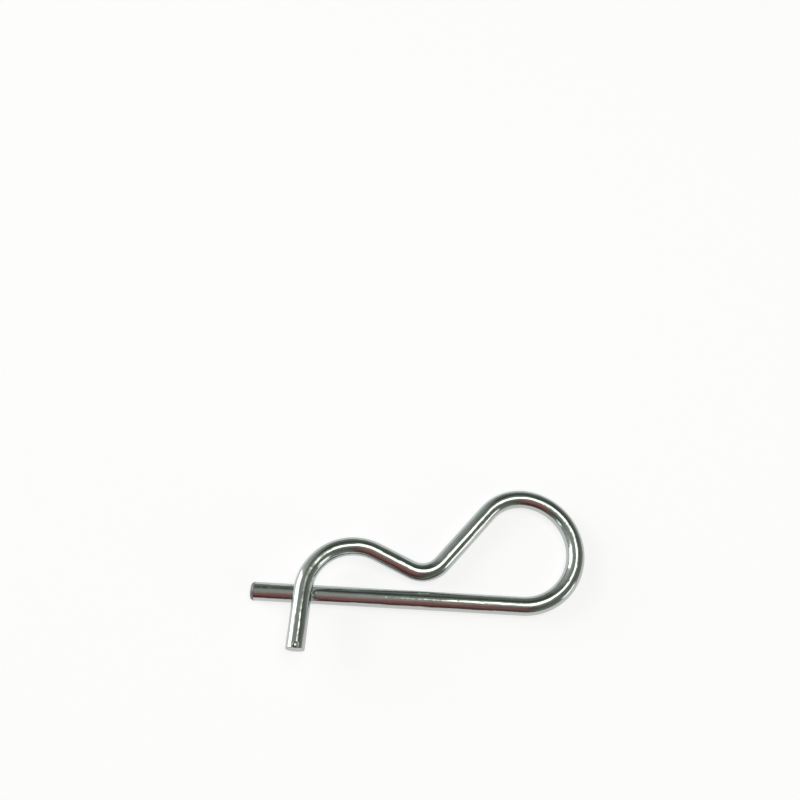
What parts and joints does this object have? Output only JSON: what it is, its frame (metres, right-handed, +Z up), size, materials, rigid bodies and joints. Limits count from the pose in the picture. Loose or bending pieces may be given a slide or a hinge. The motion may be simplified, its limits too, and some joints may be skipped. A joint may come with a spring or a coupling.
{
  "type": "r clip hitch pin",
  "caption": "Spring wire R clip: its straight leg goes through the cross hole of a shaft, its humped leg hugs the outside of the shaft, and its loop is the spring and the finger pull.",
  "frame": {"origin": "middle of the clip's length and width, on the surface that it lies on", "axes": "+X along the straight leg, from its tip to the pull loop; +Y from the straight leg towards the hump; +Z up, square to the plane of the loop"},
  "size_m": [0.0724, 0.0384, 0.0099],
  "materials": {
    "zinc_plated_wire": "bright zinc plate over drawn spring-steel wire, with bare matt faces where the wire was cut off"
  },
  "bodies": {
    "root": {"r_clip": "zinc_plated_wire"}
  },
  "joints": []
}
